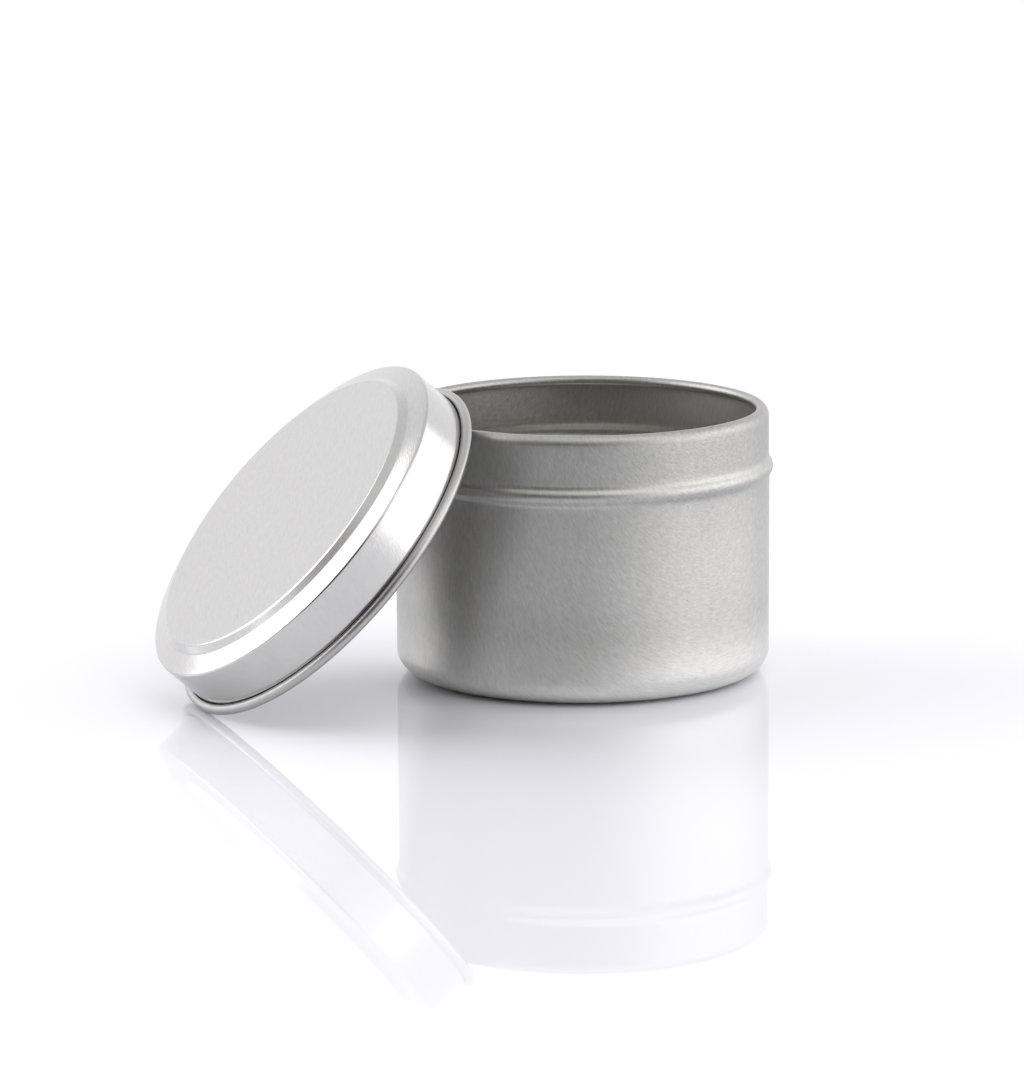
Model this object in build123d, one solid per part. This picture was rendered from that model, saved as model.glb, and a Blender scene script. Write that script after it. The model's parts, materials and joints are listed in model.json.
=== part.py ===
from build123d import *
import math
import os

# Candle tin: a seamless drawn tinplate body and its slip lid, standing open, with the lid leaning on the rim.
# Millimetres. The origin is the middle of the body's standing ring, +Z is up, and the lid leans towards -X.
# Every radius and height below is that of the outside surface of the sheet.

SHEET = 0.25                    # tinplate thickness

# Body
BODY_RADIUS = 38.5
CORNER_RADIUS = 4.8             # where the bottom turns up into the wall
FLOOR_RECESS = 0.8              # the middle of the bottom is set up by this much, so the body stands on a ring
RECESS_RADIUS = 27.0
STANDING_RADIUS = 29.0          # inner edge of the standing ring
STANDING_WIDTH = 1.0
FOOT_STEP = 1.4                 # how far the sheet runs while it steps up outside the ring
FOOT_LIFT = 0.35                # height of the bottom outside the ring, so the corner stays clear of the table
BEAD_BOTTOM = 40.6              # the bead is the outward swell that stops the lid
BEAD_HEIGHT = 4.8
BEAD_PROUD = 0.75
NECK_RADIUS = 38.4              # the plain band above the bead, which the lid slides over
NECK_BEND_RADIUS = 2.4          # the short bend that brings the top of the neck in to the curl
RIM_TOP = 55.4
RIM_TUBE_RADIUS = 1.07          # the inward curl round the mouth
RIM_CENTRE_RADIUS = 36.81
RIM_CURL_END = 310.0            # where the curl stops, in degrees round its own circle from straight out

# Lid, in its own frame: its axis is Z and its hem stands on Z = 0
LID_RADIUS = 39.0
PANEL_HEIGHT = 13.8
PANEL_RADIUS = 32.9             # edge of the flat raised panel
FLANGE_HEIGHT = 12.45           # foot of the step round the panel, where the sloping flange starts
STEP_ANGLE = 42.0               # slope of the step, in degrees
FLANGE_ANGLE = 16.0             # slope of the flange
STEP_BEND_RADIUS = 0.9          # the two bends of the step
SHOULDER_RADIUS = 0.55
HEM_TUBE_RADIUS = 1.05          # the outward curl at the bottom of the skirt
HEM_TURN = 300.0                # how far the hem curls, in degrees

# Where the lid leans: its foot is on the floor and its hem rests on the rim
LID_TILT = 48.1                 # angle between the lid's axis and +Z, in degrees
LID_X = -57.48
LID_Y = -6.16


def sine(degrees):
    return math.sin(math.radians(degrees))


def cosine(degrees):
    return math.cos(math.radians(degrees))


def side_step(along, left):
    """Two equal bends that move a run to its left by left over a length of along."""
    radius = (along**2 + left**2) / (4 * abs(left))
    turn = math.copysign(math.degrees(math.asin(along / (2 * radius))), left)
    return [(radius, turn), (radius, -turn)]


def follow(start, moves, shift):
    """Lines and arcs from start, heading +X, all shifted to their left by shift.

    A move is (length, 0) for a straight run or (radius, degrees) for a bend, positive to the left.
    """
    lines = []
    point = Vector(start[0], start[1] + shift)
    heading = Vector(1, 0)
    for size, turn in moves:
        if turn:
            line = JernArc(point, heading, size - shift * math.copysign(1, turn), turn)
        else:
            line = PolarLine(point, size, direction=heading)
        lines.append(line)
        point = line @ 1
        heading = line % 1
    return lines


def turned_sheet(start, moves, shift):
    """The solid that the sheet makes when it is turned about Z; shift is its thickness to the left of the run."""
    outside = follow(start, moves, 0)
    inside = follow(start, moves, shift)
    ends = [Line(outside[0] @ 0, inside[0] @ 0), Line(outside[-1] @ 1, inside[-1] @ 1)]
    section = make_face([*outside, *inside, *ends])
    return revolve(Plane.XZ * section, Axis.Z, 360)


def tin_body():
    """The body, drawn from one disc: recessed bottom, wall, bead, neck and inward-rolled rim."""
    # The neck's bend and the curl touch on the line through their centres.
    reach = NECK_BEND_RADIUS - (NECK_RADIUS - RIM_CENTRE_RADIUS)
    bend = math.degrees(math.acos(reach / (NECK_BEND_RADIUS - RIM_TUBE_RADIUS)))
    neck_top = RIM_TOP - RIM_TUBE_RADIUS - reach * math.tan(math.radians(bend))
    foot_radius = STANDING_RADIUS + STANDING_WIDTH + FOOT_STEP
    moves = [
        (RECESS_RADIUS, 0),
        *side_step(STANDING_RADIUS - RECESS_RADIUS, -FLOOR_RECESS),
        (STANDING_WIDTH, 0),
        *side_step(FOOT_STEP, FOOT_LIFT),
        (BODY_RADIUS - CORNER_RADIUS - foot_radius, 0),
        (CORNER_RADIUS, 90),
        (BEAD_BOTTOM - FOOT_LIFT - CORNER_RADIUS, 0),
        *side_step(BEAD_HEIGHT / 2, -BEAD_PROUD),
        *side_step(BEAD_HEIGHT / 2, BODY_RADIUS + BEAD_PROUD - NECK_RADIUS),
        (neck_top - BEAD_BOTTOM - BEAD_HEIGHT, 0),
        (NECK_BEND_RADIUS, bend),
        (RIM_TUBE_RADIUS, RIM_CURL_END - bend),
    ]
    return turned_sheet((0, FLOOR_RECESS), moves, SHEET)


def lid_shell():
    """The lid in its own frame: raised panel, step, sloping flange, shoulder, skirt and outward hem."""
    bends_drop = STEP_BEND_RADIUS * (1 + cosine(FLANGE_ANGLE) - 2 * cosine(STEP_ANGLE))
    step_length = (PANEL_HEIGHT - FLANGE_HEIGHT - bends_drop) / sine(STEP_ANGLE)
    step_run = STEP_BEND_RADIUS * (2 * sine(STEP_ANGLE) - sine(FLANGE_ANGLE)) + step_length * cosine(STEP_ANGLE)
    shoulder_run = SHOULDER_RADIUS * (1 - sine(FLANGE_ANGLE))
    flange_run = LID_RADIUS - shoulder_run - PANEL_RADIUS - step_run
    flange_drop = flange_run * math.tan(math.radians(FLANGE_ANGLE))
    skirt_top = FLANGE_HEIGHT - flange_drop - SHOULDER_RADIUS * cosine(FLANGE_ANGLE)
    moves = [
        (PANEL_RADIUS, 0),
        (STEP_BEND_RADIUS, -STEP_ANGLE),
        (step_length, 0),
        (STEP_BEND_RADIUS, STEP_ANGLE - FLANGE_ANGLE),
        (flange_run / cosine(FLANGE_ANGLE), 0),
        (SHOULDER_RADIUS, FLANGE_ANGLE - 90),
        (skirt_top - HEM_TUBE_RADIUS, 0),
        (HEM_TUBE_RADIUS - SHEET, HEM_TURN),
    ]
    return turned_sheet((0, PANEL_HEIGHT), moves, -SHEET)


def lean(shell):
    """Tilt the lid about Y, set its hem on the floor and move it against the rim."""
    hem_centre_radius = LID_RADIUS + HEM_TUBE_RADIUS - SHEET
    lid_z = hem_centre_radius * sine(LID_TILT) + HEM_TUBE_RADIUS * (1 - cosine(LID_TILT))
    return Pos(LID_X, LID_Y, lid_z) * Rot(0, -LID_TILT, 0) * shell


os.makedirs("parts", exist_ok=True)
nodes = {"tin_body": tin_body(), "lid": lean(lid_shell())}
for name, solid in nodes.items():
    export_step(solid, f"parts/{name}.step")
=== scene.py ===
"""Studio look of a candle tin: a drawn tinplate body and its slip lid, leaning open on the rim.

Both pieces are sheets of real thickness, turned about their axes from a walked outline. Lengths are in
metres.
"""

import json
import logging
import math
from dataclasses import dataclass
from typing import Any, Sequence

import bpy
import numpy as np
from mathutils import Euler, Matrix, Vector


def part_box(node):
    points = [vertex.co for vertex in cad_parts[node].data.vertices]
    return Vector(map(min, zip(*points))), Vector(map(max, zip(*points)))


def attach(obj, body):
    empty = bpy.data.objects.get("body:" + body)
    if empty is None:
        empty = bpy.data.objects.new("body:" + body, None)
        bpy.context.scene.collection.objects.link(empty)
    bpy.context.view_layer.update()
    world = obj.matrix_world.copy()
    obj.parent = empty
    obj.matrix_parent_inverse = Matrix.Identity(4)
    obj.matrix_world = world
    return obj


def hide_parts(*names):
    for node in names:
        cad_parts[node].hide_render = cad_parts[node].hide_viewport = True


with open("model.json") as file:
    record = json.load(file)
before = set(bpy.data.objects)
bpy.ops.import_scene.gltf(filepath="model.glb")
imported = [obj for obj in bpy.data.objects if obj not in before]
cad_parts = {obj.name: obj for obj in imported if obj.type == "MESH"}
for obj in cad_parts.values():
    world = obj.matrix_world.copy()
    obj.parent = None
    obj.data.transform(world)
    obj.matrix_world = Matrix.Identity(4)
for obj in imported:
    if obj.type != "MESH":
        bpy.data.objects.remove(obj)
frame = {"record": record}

logging.basicConfig(level=logging.INFO, format="%(name)s: %(message)s")
log = logging.getLogger("candle_tin")

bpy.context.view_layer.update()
MM = 0.001


# ---------------------------------------------------------------- shader maths


class Wire:
    """A shader socket that can be used in arithmetic; each operation adds a Math node."""

    def __init__(self, graph: "Graph", socket: bpy.types.NodeSocket) -> None:
        """Keep the socket and the graph it belongs to."""
        self.graph = graph
        self.socket = socket

    def _math(self, operation: str, *values: Any) -> "Wire":
        """Add one Math node and return its result."""
        return self.graph.add("ShaderNodeMath", {"operation": operation}, dict(enumerate(values)))

    def __add__(self, other: Any) -> "Wire":
        """Sum."""
        return self._math("ADD", self, other)

    __radd__ = __add__

    def __sub__(self, other: Any) -> "Wire":
        """Difference."""
        return self._math("SUBTRACT", self, other)

    def __rsub__(self, other: Any) -> "Wire":
        """Difference with the socket on the right."""
        return self._math("SUBTRACT", other, self)

    def __mul__(self, other: Any) -> "Wire":
        """Product."""
        return self._math("MULTIPLY", self, other)

    __rmul__ = __mul__

    def ramp(self, low: float, high: float) -> "Wire":
        """A smooth rise from 0 at low to 1 at high."""
        return self.graph.add(
            "ShaderNodeMapRange",
            {"interpolation_type": "SMOOTHSTEP"},
            {"Value": self, "From Min": low, "From Max": high},
        )


class Graph:
    """The node tree of one material or world."""

    def __init__(self, owner: Any) -> None:
        """Empty the owner's tree.

        Args:
            owner: a material or a world.
        """
        owner.use_nodes = True
        self.tree = owner.node_tree
        self.tree.nodes.clear()

    def add(
        self, kind: str, settings: dict | None = None, inputs: dict | None = None, output: Any = 0
    ) -> Wire:
        """Add any node.

        Args:
            kind: the node's type name.
            settings: its properties, which are set first.
            inputs: values or Wires for its sockets, by name or number.
            output: the socket that the returned Wire carries, by name or number.

        Returns:
            A Wire on that output.
        """
        node = self.tree.nodes.new(kind)
        for name, value in (settings or {}).items():
            setattr(node, name, value)
        for name, value in (inputs or {}).items():
            if isinstance(value, Wire):
                self.tree.links.new(value.socket, node.inputs[name])
            else:
                node.inputs[name].default_value = value
        return Wire(self, node.outputs[output])

    def finish(self, kind: str, surface: Wire) -> None:
        """Join a shader to the tree's output node.

        Args:
            kind: the output node's type name.
            surface: the shader.
        """
        node = self.tree.nodes.new(kind)
        self.tree.links.new(surface.socket, node.inputs["Surface"])


# ---------------------------------------------------------------- finishes


@dataclass(frozen=True)
class Pattern:
    """Noise on the blank: waves per millimetre along and across the rolling direction, and its detail."""

    along: float
    across: float
    detail: float
    roughness: float = 0.6

    def on(self, graph: Graph, space: Wire) -> Wire:
        """Add the noise.

        Args:
            graph: the material's graph.
            space: the blank's coordinates, turned so that x runs along the rolling direction.

        Returns:
            Values between 0 and 1.
        """
        scale = (self.along, self.across, 1)
        scaled = graph.add("ShaderNodeMapping", {}, {"Vector": space, "Scale": scale})
        inputs = {"Vector": scaled, "Scale": 1.0, "Detail": self.detail, "Roughness": self.roughness}
        return graph.add("ShaderNodeTexNoise", {"noise_dimensions": "2D"}, inputs)


@dataclass(frozen=True)
class Tinplate:
    """Satin tinplate, with a rolled grain that follows the flat blank each piece was drawn from.

    rolling_angle is the grain's direction on the blank and grain its strength. Distances are in
    millimetres from the blank's centre. drawn holds painted light and shade, in bands round the axis:
    each is a start, an end and the share of brightness taken away between them, or added if negative.
    Past worn_from the curled edge has been rubbed dull.
    """

    name: str
    colour: tuple[float, float, float]
    roughness: float
    rolling_angle: float
    grain: float
    worn_from: float
    # Painted light and shade, not part of the coat: bands of brightness painted into the colour.
    drawn: tuple[tuple[float, float, float], ...] = ()
    streaks: Pattern = Pattern(0.4, 2.6, 3)
    flecks: Pattern = Pattern(0.8, 3.6, 1)
    mottle: Pattern = Pattern(0.35, 0.7, 3)
    clouds: Pattern = Pattern(0.05, 0.08, 2)
    bright_flecks: tuple[float, float] = (0.58, 0.74)
    dark_flecks: tuple[float, float] = (0.26, 0.42)
    streak_light: float = 0.55
    mottle_light: float = 0.3
    cloud_light: float = 0.12
    bright_light: float = 0.1
    dark_shade: float = 0.12
    middle_light: float = 0.485
    worn_width: float = 1.0
    worn_dulling: float = 0.2
    worn_roughness: float = 0.15
    streak_roughness: float = 0.2
    bump_height: float = 0.03 * MM
    fleck_relief: float = 0.4

    def material(self) -> bpy.types.Material:
        """Build the material.

        The piece's "blank" map holds millimetres on the flat disc, so the grain bends as the sheet was
        drawn. Noise stretched along the rolling direction gives the streaks, its peaks the bright flecks
        and its hollows the dark ones, and rounder noise gives the mottled tin coat.

        Returns:
            The finished material.
        """
        made = bpy.data.materials.new(self.name)
        graph = Graph(made)
        blank = graph.add("ShaderNodeUVMap", {"uv_map": "blank"})
        turned = {"Vector": blank, "Rotation": (0, 0, -self.rolling_angle)}
        rolled = graph.add("ShaderNodeMapping", {}, turned)
        streaks = self.streaks.on(graph, rolled)
        flecks = self.flecks.on(graph, rolled)
        mottle = self.mottle.on(graph, rolled)
        clouds = self.clouds.on(graph, rolled)
        bright = flecks.ramp(*self.bright_flecks)
        dark = 1 - flecks.ramp(*self.dark_flecks)
        reach = graph.add("ShaderNodeVectorMath", {"operation": "LENGTH"}, {0: blank}, "Value")
        worn = reach.ramp(self.worn_from, self.worn_from + self.worn_width)
        lights = self.streak_light * streaks + self.mottle_light * mottle + self.cloud_light * clouds
        lights = lights + self.bright_light * bright - self.dark_shade * dark
        shade = (1 - self.middle_light * self.grain) + self.grain * lights - self.worn_dulling * worn
        # Painted light and shade: each band of drawn darkens the colour past its start, or brightens it if
        # negative.
        for start, end, painted_light_share in self.drawn:
            shade = shade - painted_light_share * reach.ramp(start, end)
        grey = graph.add("ShaderNodeCombineColor", {}, {0: shade, 1: shade, 2: shade})
        multiply = {"data_type": "RGBA", "blend_type": "MULTIPLY"}
        tint = graph.add("ShaderNodeMix", multiply, {0: 1.0, 6: (*self.colour, 1), 7: grey}, 2)
        smoothest = self.roughness - self.streak_roughness * self.grain / 2
        roughness = smoothest + self.streak_roughness * self.grain * streaks + self.worn_roughness * worn
        height = streaks + self.fleck_relief * bright - self.fleck_relief * dark
        bumped = {"Strength": self.grain, "Distance": self.bump_height, "Height": height}
        bump = graph.add("ShaderNodeBump", {}, bumped)
        surface = graph.add(
            "ShaderNodeBsdfPrincipled",
            {},
            {"Base Color": tint, "Metallic": 1.0, "Roughness": roughness, "Normal": bump},
        )
        graph.finish("ShaderNodeOutputMaterial", surface)
        return made


@dataclass(frozen=True)
class GlossyBoard:
    """Polished white board that the tin stands on."""

    colour: tuple[float, float, float] = (0.93, 0.93, 0.98)
    roughness: float = 0.012
    haze: float = 0.012
    haze_scale: float = 9.0
    haze_detail: float = 2.0
    ior: float = 1.35

    def material(self) -> bpy.types.Material:
        """Build the material, with a faint unevenness in its polish.

        Returns:
            The finished material.
        """
        made = bpy.data.materials.new("white_board")
        graph = Graph(made)
        place = graph.add("ShaderNodeTexCoord", {}, {}, "Object")
        noise = {"Vector": place, "Scale": self.haze_scale, "Detail": self.haze_detail}
        roughness = self.roughness + self.haze * graph.add("ShaderNodeTexNoise", {}, noise)
        surface = graph.add(
            "ShaderNodeBsdfPrincipled",
            {},
            {"Base Color": (*self.colour, 1), "Roughness": roughness, "IOR": self.ior},
        )
        graph.finish("ShaderNodeOutputMaterial", surface)
        return made


# ---------------------------------------------------------------- sheet metal


@dataclass(frozen=True)
class Move:
    """One stretch of an outline: a straight run, or a bend if turn isn't 0.

    size is the run's length or the bend's radius; turn is in radians, positive to the left.
    """

    size: float
    turn: float = 0.0

    @staticmethod
    def side_step(along: float, left: float) -> list["Move"]:
        """Two equal bends that carry the outline to its left over a length.

        Two arcs of radius (along^2 + left^2) / (4 left), each turning by asin(along / (2 radius)), meet
        tangentially.

        Args:
            along: how far they run along the heading.
            left: how far they step to the left; negative steps right.

        Returns:
            The two moves.
        """
        radius = (along**2 + left**2) / (4 * abs(left))
        turn = math.copysign(math.asin(along / (2 * radius)), left)
        return [Move(radius, turn), Move(radius, -turn)]


@dataclass(frozen=True)
class Ripple:
    """The slight unevenness of a pressing, inwards from the true surface, dying out before edge_start.

    Each wave has a whole number of lobes round the axis, from lobes, and an angle per metre along the
    outline, from turns.
    """

    depth: float
    seed: int
    edge_start: float
    fade: float = 3 * MM
    calm_centre: float = 12 * MM
    waves: int = 14
    lobes: tuple[int, int] = (2, 11)
    turns: tuple[float, float] = (40, 260)
    weights: tuple[float, float] = (0.4, 1.0)

    def at(self, length: np.ndarray, angle: np.ndarray) -> np.ndarray:
        """Depth over the sheet.

        A sum of cosines of the angle times cosines of the distance along the outline, scaled to 0..depth,
        which falls in a straight line to 0 over the fade before edge_start, and as the square of the
        distance to 0 at the axis, so that every column meets at the same height there.

        Args:
            length: distance along the outline, one for each row.
            angle: angle round the axis, one for each column.

        Returns:
            One depth for each row and column.
        """
        draw = np.random.default_rng(self.seed)
        around = draw.integers(*self.lobes, self.waves)
        along = draw.uniform(*self.turns, self.waves)
        phase = draw.uniform(0, 2 * np.pi, (2, self.waves))
        weight = draw.uniform(*self.weights, self.waves) / around**0.5
        rows = np.cos(length[:, None] * along + phase[0])
        columns = np.cos(angle[:, None] * around + phase[1])
        total = np.einsum("rw,cw,w->rc", rows, columns, weight)
        outer = np.clip((self.edge_start - length) / self.fade, 0, 1)
        inner = np.clip(length / self.calm_centre, 0, 1) ** 2
        kept = (outer * inner)[:, None]
        return self.depth * kept * (total - total.min()) / (total.max() - total.min())


@dataclass(frozen=True)
class Outline:
    """The outside line of a sheet, walked from the axis outwards, starting along +radius."""

    start_height: float
    moves: Sequence[Move]
    thickness: float
    run_step: float = 1.6 * MM
    turn_step: float = math.radians(9)
    least_bend_steps: int = 3

    def walk(self) -> tuple[np.ndarray, np.ndarray, np.ndarray]:
        """Sample the line.

        A bend of radius R starting at p with heading a has its centre at p + R left(a), and its points are
        centre - R left(a + t), with the signs turned round for a bend to the right.

        Returns:
            Points (radius, height), the unit vectors to their left, and the distance walked at each.
        """
        point = np.array([0.0, self.start_height])
        heading = 0.0
        distance = 0.0
        points, headings, distances = [point[None]], [np.array([0.0])], [np.array([0.0])]
        for move in self.moves:
            if move.turn:
                side = math.copysign(1.0, move.turn)
                count = max(self.least_bend_steps, math.ceil(abs(move.turn) / self.turn_step))
                steps = np.linspace(0, move.turn, count + 1)[1:]
                centre = point + side * move.size * self._left(np.array([heading]))[0]
                along = heading + steps
                line = centre - side * move.size * self._left(along)
                passed = distance + np.abs(steps) * move.size
                heading += move.turn
            else:
                count = max(1, math.ceil(move.size / self.run_step))
                steps = np.linspace(0, move.size, count + 1)[1:]
                along = np.full(len(steps), heading)
                line = point + steps[:, None] * np.array([math.cos(heading), math.sin(heading)])
                passed = distance + steps
            point, distance = line[-1], passed[-1]
            points.append(line)
            headings.append(along)
            distances.append(passed)
        return np.concatenate(points), self._left(np.concatenate(headings)), np.concatenate(distances)

    @staticmethod
    def _left(heading: np.ndarray) -> np.ndarray:
        """Unit vectors to the left of each heading."""
        return np.stack([-np.sin(heading), np.cos(heading)], -1)


@dataclass
class TurnedSheet:
    """A sheet of even thickness turned about an axis into one closed piece."""

    name: str
    outline: Outline
    ripple: Ripple
    place: Matrix
    columns: int = 288
    sharp_angle: float = math.radians(40)

    def build(self) -> bpy.types.Object:
        """Make the piece.

        Every outline point gives a ring: (r cos t, r sin t, z). The second side is the first moved along
        its left normal by the thickness. Rings run from the middle of one side, over the cut edge, to the
        middle of the other.

        Returns:
            The object, at the origin, with its place in its mesh.
        """
        points, left, length = self.outline.walk()
        angle = np.linspace(0, 2 * np.pi, self.columns, endpoint=False)
        side = math.copysign(1.0, self.outline.thickness)
        inward = self.ripple.at(length, angle)[..., None] * (side * left)[:, None, :]
        near = points[:, None, :] + inward
        far = near + self.outline.thickness * left[:, None, :]
        section = np.concatenate([near, far[::-1]])
        walked = np.concatenate([length, length[::-1]])
        vertices, loops, sizes, maps = self._stitch(section, walked, angle, side < 0)
        placed = vertices @ np.array(self.place.to_3x3()).T + np.array(self.place.translation)
        return self._object(placed, loops, sizes, maps)

    @staticmethod
    def _stitch(section: np.ndarray, walked: np.ndarray, angle: np.ndarray, flip: bool) -> tuple:
        """Join the rings into quads, with a fan of triangles at each pole.

        Args:
            section: radius and height for each ring and column.
            walked: distance along the outline for each ring, in metres.
            angle: angle of each column.
            flip: whether the winding is turned round, so that faces point outwards.

        Returns:
            Vertices, corner vertex numbers, corners per face, and the blank's flat coordinates at each
            corner, in mm.
        """
        count = len(angle)
        turn = np.stack([np.cos(angle), np.sin(angle)], -1)
        inner = section[1:-1]
        body = np.concatenate([inner[..., :1] * turn, inner[..., 1:]], -1).reshape(-1, 3)
        poles = np.array([[0, 0, section[0, 0, 1]], [0, 0, section[-1, 0, 1]]])
        vertices = np.concatenate([body, poles])
        flat = np.concatenate([(walked[1:-1, None, None] * turn).reshape(-1, 2), np.zeros((2, 2))]) / MM
        rings = np.arange(len(body)).reshape(-1, count)
        after = np.roll(rings, -1, axis=1)
        quads = np.stack([rings[:-1], after[:-1], after[1:], rings[1:]], -1).reshape(-1, 4)
        first = np.stack([after[0], rings[0], np.full(count, len(body))], -1)
        last = np.stack([rings[-1], after[-1], np.full(count, len(body) + 1)], -1)
        fans = np.concatenate([first, last])
        if flip:
            quads, fans = quads[:, ::-1], fans[:, ::-1]
        loops = np.concatenate([quads.ravel(), fans.ravel()])
        sizes = np.concatenate([np.full(len(quads), 4), np.full(len(fans), 3)])
        return vertices, loops, sizes, flat[loops]

    def _object(
        self, vertices: np.ndarray, loops: np.ndarray, sizes: np.ndarray, flat: np.ndarray
    ) -> bpy.types.Object:
        """Put the arrays into a smooth mesh with its "blank" map.

        Args:
            vertices: places of the vertices.
            loops: corner vertex numbers.
            sizes: corners per face.
            flat: the map's coordinates at each corner.

        Returns:
            The linked object.
        """
        mesh = bpy.data.meshes.new(self.name)
        mesh.vertices.add(len(vertices))
        mesh.vertices.foreach_set("co", vertices.astype(np.float32).ravel())
        mesh.loops.add(len(loops))
        mesh.loops.foreach_set("vertex_index", loops.astype(np.int32))
        mesh.polygons.add(len(sizes))
        starts = np.concatenate([[0], np.cumsum(sizes)[:-1]])
        mesh.polygons.foreach_set("loop_start", starts.astype(np.int32))
        mesh.polygons.foreach_set("use_smooth", np.ones(len(sizes), bool))
        blank = mesh.uv_layers.new(name="blank")
        blank.data.foreach_set("uv", flat.astype(np.float32).ravel())
        mesh.update(calc_edges=True)
        mesh.validate()
        mesh.set_sharp_from_angle(angle=self.sharp_angle)
        made = bpy.data.objects.new(self.name, mesh)
        bpy.context.collection.objects.link(made)
        return made


# ---------------------------------------------------------------- the two pieces


@dataclass
class TinBody:
    """The drawn body: recessed bottom, wall, bead, neck and inward-rolled rim."""

    sheet: float = 0.25 * MM
    radius: float = 38.5 * MM
    corner_radius: float = 4.8 * MM
    floor_recess: float = 0.8 * MM
    recess_radius: float = 27.0 * MM
    standing_radius: float = 29.0 * MM
    standing_width: float = 1.0 * MM
    foot_step: float = 1.4 * MM
    foot_lift: float = 0.35 * MM
    bead_bottom: float = 40.6 * MM
    bead_height: float = 4.8 * MM
    neck_radius: float = 38.4 * MM
    neck_bend_radius: float = 2.4 * MM
    rim_tube_radius: float = 1.07 * MM
    rim_centre_radius: float = 36.81 * MM
    rim_curl_end: float = math.radians(310)
    ripple: Ripple = Ripple(depth=0.03 * MM, seed=5, edge_start=91 * MM)
    finish: Tinplate = Tinplate(
        "body_tinplate_and_painted_light",
        colour=(0.795, 0.789, 0.755),
        roughness=0.42,
        rolling_angle=math.radians(22),
        grain=0.5,
        worn_from=96,
        # Painted light: a bright bottom corner standing in for the board's reflection, painted shade
        # darkening the wall towards the neck, and a painted highlight on the bead's upper slope.
        drawn=((37.5, 53, 0.33), (58, 90, 0.13), (79, 80.5, -0.08), (81.5, 83, 0.08)),
    )

    def build(self) -> bpy.types.Object:
        """Turn the body, dress it and hang it on the tin.

        Returns:
            The finished piece.
        """
        bead_radius, _, rim_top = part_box("tin_body")[1]
        outline = self._outline(rim_top, bead_radius)
        piece = TurnedSheet("tin_shell", outline, self.ripple, Matrix()).build()
        piece.data.materials.append(self.finish.material())
        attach(piece, "tin")
        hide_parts("tin_body")
        return piece

    def _outline(self, rim_top: float, bead_radius: float) -> Outline:
        """Lay out the body's moves.

        Args:
            rim_top: height of the rim.
            bead_radius: largest radius of the bead.

        Returns:
            The outline of the outside surface.
        """
        reach = self.neck_bend_radius - (self.neck_radius - self.rim_centre_radius)
        bend = math.acos(reach / (self.neck_bend_radius - self.rim_tube_radius))
        neck_top = rim_top - self.rim_tube_radius - reach * math.tan(bend)
        half_bead = self.bead_height / 2
        foot_radius = self.standing_radius + self.standing_width + self.foot_step
        return Outline(
            self.floor_recess,
            [
                Move(self.recess_radius),
                *Move.side_step(self.standing_radius - self.recess_radius, -self.floor_recess),
                Move(self.standing_width),
                *Move.side_step(self.foot_step, self.foot_lift),
                Move(self.radius - self.corner_radius - foot_radius),
                Move(self.corner_radius, math.radians(90)),
                Move(self.bead_bottom - self.foot_lift - self.corner_radius),
                *Move.side_step(half_bead, self.radius - bead_radius),
                *Move.side_step(half_bead, bead_radius - self.neck_radius),
                Move(neck_top - self.bead_bottom - self.bead_height),
                Move(self.neck_bend_radius, bend),
                Move(self.rim_tube_radius, self.rim_curl_end - bend),
            ],
            self.sheet,
        )


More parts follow.
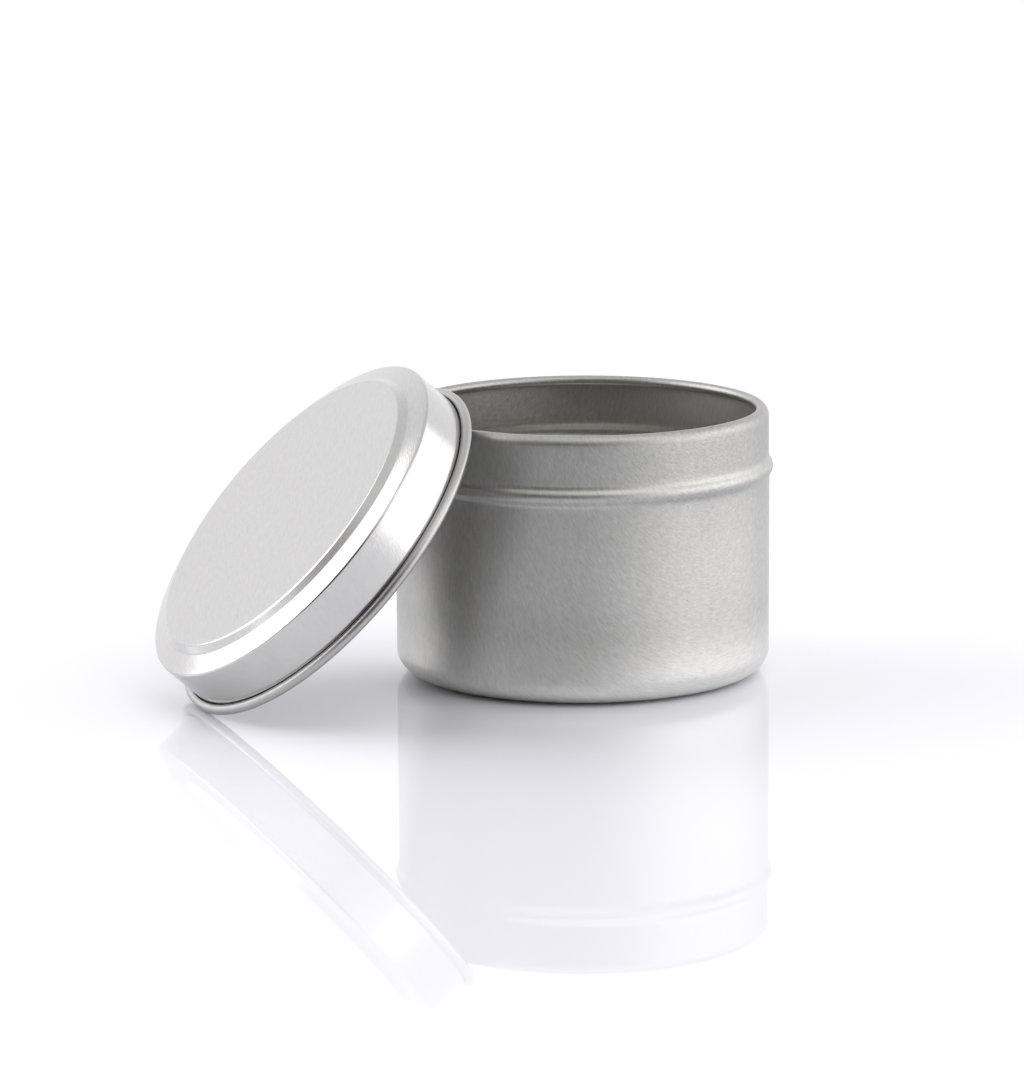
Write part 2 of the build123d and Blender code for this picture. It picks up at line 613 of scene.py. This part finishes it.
@dataclass
class Lid:
    """The pressed lid: raised panel, step, sloping flange, shoulder, skirt and outward hem."""

    sheet: float = 0.25 * MM
    radius: float = 39.0 * MM
    panel_height: float = 13.8 * MM
    panel_radius: float = 32.9 * MM
    flange_height: float = 12.45 * MM
    step_angle: float = math.radians(42)
    flange_angle: float = math.radians(16)
    step_bend_radius: float = 0.9 * MM
    shoulder_radius: float = 0.55 * MM
    hem_tube_radius: float = 1.05 * MM
    hem_turn: float = math.radians(300)
    ripple: Ripple = Ripple(depth=0.02 * MM, seed=8, edge_start=49 * MM)
    finish: Tinplate = Tinplate(
        "lid_tinplate_finish",
        colour=(0.58, 0.575, 0.565),
        roughness=0.19,
        rolling_angle=math.radians(60),
        grain=0.25,
        worn_from=50.2,
    )

    def build(self) -> bpy.types.Object:
        """Turn the lid, lean it where the frame says, dress it and hang it on its body.

        Returns:
            The finished piece.
        """
        piece = TurnedSheet("lid_shell", self._outline(), self.ripple, self._place()).build()
        piece.data.materials.append(self.finish.material())
        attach(piece, "lid")
        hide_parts("lid")
        return piece

    def _place(self) -> Matrix:
        """The lid's frame: the panel mount's axis, with the hem plane the panel's height below it."""
        mount = next(m for m in frame["record"]["mounts"] if m["name"] == "lid_panel")
        axis = Vector(mount["axis"]).normalized()
        across = Vector((0, 1, 0))
        turned = Matrix((across.cross(axis), across, axis)).transposed().to_4x4()
        turned.translation = Vector(mount["pos_m"]) - self.panel_height * axis
        return turned

    def _outline(self) -> Outline:
        """Lay out the lid's moves, top side up; the straight runs fill what the bends leave.

        Returns:
            The outline of the top side.
        """
        sine, cosine = math.sin, math.cos
        bends_drop = self.step_bend_radius * (1 + cosine(self.flange_angle) - 2 * cosine(self.step_angle))
        step_length = (self.panel_height - self.flange_height - bends_drop) / sine(self.step_angle)
        bends_run = self.step_bend_radius * (2 * sine(self.step_angle) - sine(self.flange_angle))
        step_run = bends_run + step_length * cosine(self.step_angle)
        shoulder_run = self.shoulder_radius * (1 - sine(self.flange_angle))
        flange_run = self.radius - shoulder_run - self.panel_radius - step_run
        flange_drop = flange_run * math.tan(self.flange_angle)
        skirt_top = self.flange_height - flange_drop - self.shoulder_radius * cosine(self.flange_angle)
        return Outline(
            self.panel_height,
            [
                Move(self.panel_radius),
                Move(self.step_bend_radius, -self.step_angle),
                Move(step_length),
                Move(self.step_bend_radius, self.step_angle - self.flange_angle),
                Move(flange_run / cosine(self.flange_angle)),
                Move(self.shoulder_radius, self.flange_angle - math.radians(90)),
                Move(skirt_top - self.hem_tube_radius),
                Move(self.hem_tube_radius - self.sheet, self.hem_turn),
            ],
            -self.sheet,
        )


# ---------------------------------------------------------------- the studio


@dataclass
class StudioCamera:
    """A long lens a little above the tin, with the lid to its left."""

    lens: float = 185.4
    sensor: float = 36.0
    distance: float = 1.1349
    azimuth: float = math.radians(-21.92)
    elevation: float = math.radians(11.05)
    turned_left: float = math.radians(0.748)
    looking_down: float = math.radians(11.03)
    roll: float = math.radians(-0.354)
    pivot_height: float = 28 * MM

    def build(self) -> None:
        """Place the camera on a sphere round the pivot and turn it about level axes, then about its own."""
        level = self.distance * math.cos(self.elevation)
        height = self.pivot_height + self.distance * math.sin(self.elevation)
        place = Vector((level * math.sin(self.azimuth), -level * math.cos(self.azimuth), height))
        pitch = math.radians(90) - self.looking_down
        turned = Euler((pitch, 0, self.azimuth + self.turned_left)).to_matrix()
        data = bpy.data.cameras.new("studio_camera")
        data.lens = self.lens
        data.sensor_width = self.sensor
        made = bpy.data.objects.new("studio_camera", data)
        bpy.context.collection.objects.link(made)
        rolled = turned @ Matrix.Rotation(self.roll, 3, "Z")
        made.matrix_world = Matrix.Translation(place) @ rolled.to_4x4()
        bpy.context.scene.camera = made


def direction(bearing: float, height_angle: float) -> Vector:
    """A unit vector from the tin.

    Args:
        bearing: angle to the right of the camera's side.
        height_angle: angle above the board.

    Returns:
        The vector.
    """
    heading = StudioCamera.azimuth - math.radians(90) + bearing
    level = math.cos(height_angle)
    return Vector((level * math.cos(heading), level * math.sin(heading), math.sin(height_angle)))


@dataclass(frozen=True)
class SoftBox:
    """One large soft box, aimed at the tin; bearing and height_angle are as in direction()."""

    name: str
    bearing: float
    height_angle: float
    width: float
    height: float
    brightness: float
    away: float = 2.2

    def build(self) -> None:
        """Hang the light; a box of area A needs 4 A watts for each unit of brightness."""
        out = direction(self.bearing, self.height_angle)
        data = bpy.data.lights.new(self.name, "AREA")
        data.shape = "RECTANGLE"
        data.size, data.size_y = self.width, self.height
        data.energy = 4 * self.width * self.height * self.brightness
        made = bpy.data.objects.new(self.name, data)
        bpy.context.collection.objects.link(made)
        aimed = out.to_track_quat("Z", "Y").to_matrix().to_4x4()
        made.matrix_world = Matrix.Translation(self.away * out) @ aimed


@dataclass
class Studio:
    """A glossy board in a white tent that is open towards the camera, with a soft box at each side.

    The cloth dims from wall to ceiling over ceiling_rise, heights of a unit direction. opening holds the
    cosines of the angles from the opening's middle at which the dark begins and is full.
    """

    wall: tuple[float, float, float] = (1.1, 1.09, 1.12)
    ceiling: tuple[float, float, float] = (0.85, 0.85, 0.86)
    ceiling_rise: tuple[float, float] = (0.35, 0.85)
    opening_bearing: float = math.radians(-15)
    opening_height: float = math.radians(18)
    opening: tuple[float, float] = (0.6, 0.95)
    room: tuple[float, float, float] = (0.07, 0.07, 0.055)
    board_reach: float = 8.0
    boxes: tuple[SoftBox, ...] = (
        SoftBox("right_box", math.radians(87), math.radians(18), width=3.2, height=1.6, brightness=0.7),
        SoftBox("left_box", math.radians(-100), math.radians(28), width=2.0, height=1.5, brightness=1.5),
        SoftBox("top_box", math.radians(25), math.radians(58), width=2.4, height=1.2, brightness=0.6),
    )

    def build(self) -> None:
        """Make the board, the tent's glow and the soft boxes."""
        self._board()
        self._tent()
        for box in self.boxes:
            box.build()

    def _board(self) -> None:
        """A wide flat square under the tin."""
        reach = self.board_reach
        corners = [(-reach, -reach, 0), (reach, -reach, 0), (reach, reach, 0), (-reach, reach, 0)]
        mesh = bpy.data.meshes.new("board")
        mesh.from_pydata(corners, [], [(0, 1, 2, 3)])
        mesh.materials.append(GlossyBoard().material())
        board = bpy.data.objects.new("board", mesh)
        bpy.context.collection.objects.link(board)

    def _tent(self) -> None:
        """Soft light, dimmer overhead, that falls to a faint warm glow in the opening."""
        world = bpy.data.worlds.new("tent")
        bpy.context.scene.world = world
        graph = Graph(world)
        seen = graph.add("ShaderNodeTexCoord", {}, {}, "Generated")
        middle = direction(self.opening_bearing, self.opening_height)
        dot = {"operation": "DOT_PRODUCT"}
        facing = graph.add("ShaderNodeVectorMath", dot, {0: seen, 1: middle}, "Value")
        height = graph.add("ShaderNodeSeparateXYZ", {}, {0: seen}, "Z").ramp(*self.ceiling_rise)
        blend = {"data_type": "RGBA"}
        cloth = graph.add("ShaderNodeMix", blend, {0: height, 6: (*self.wall, 1), 7: (*self.ceiling, 1)}, 2)
        dark = facing.ramp(*self.opening)
        glow = graph.add("ShaderNodeMix", blend, {0: dark, 6: cloth, 7: (*self.room, 1)}, 2)
        graph.finish("ShaderNodeOutputWorld", graph.add("ShaderNodeBackground", {}, {"Color": glow}))


def main() -> None:
    """Build the camera, the studio and the two pieces, and log each piece's face count."""
    bpy.context.scene.view_settings.view_transform = "Standard"
    StudioCamera().build()
    Studio().build()
    for part in (TinBody(), Lid()):
        piece = part.build()
        log.info("%s: %d faces", piece.name, len(piece.data.polygons))


if __name__ == "__main__":
    main()
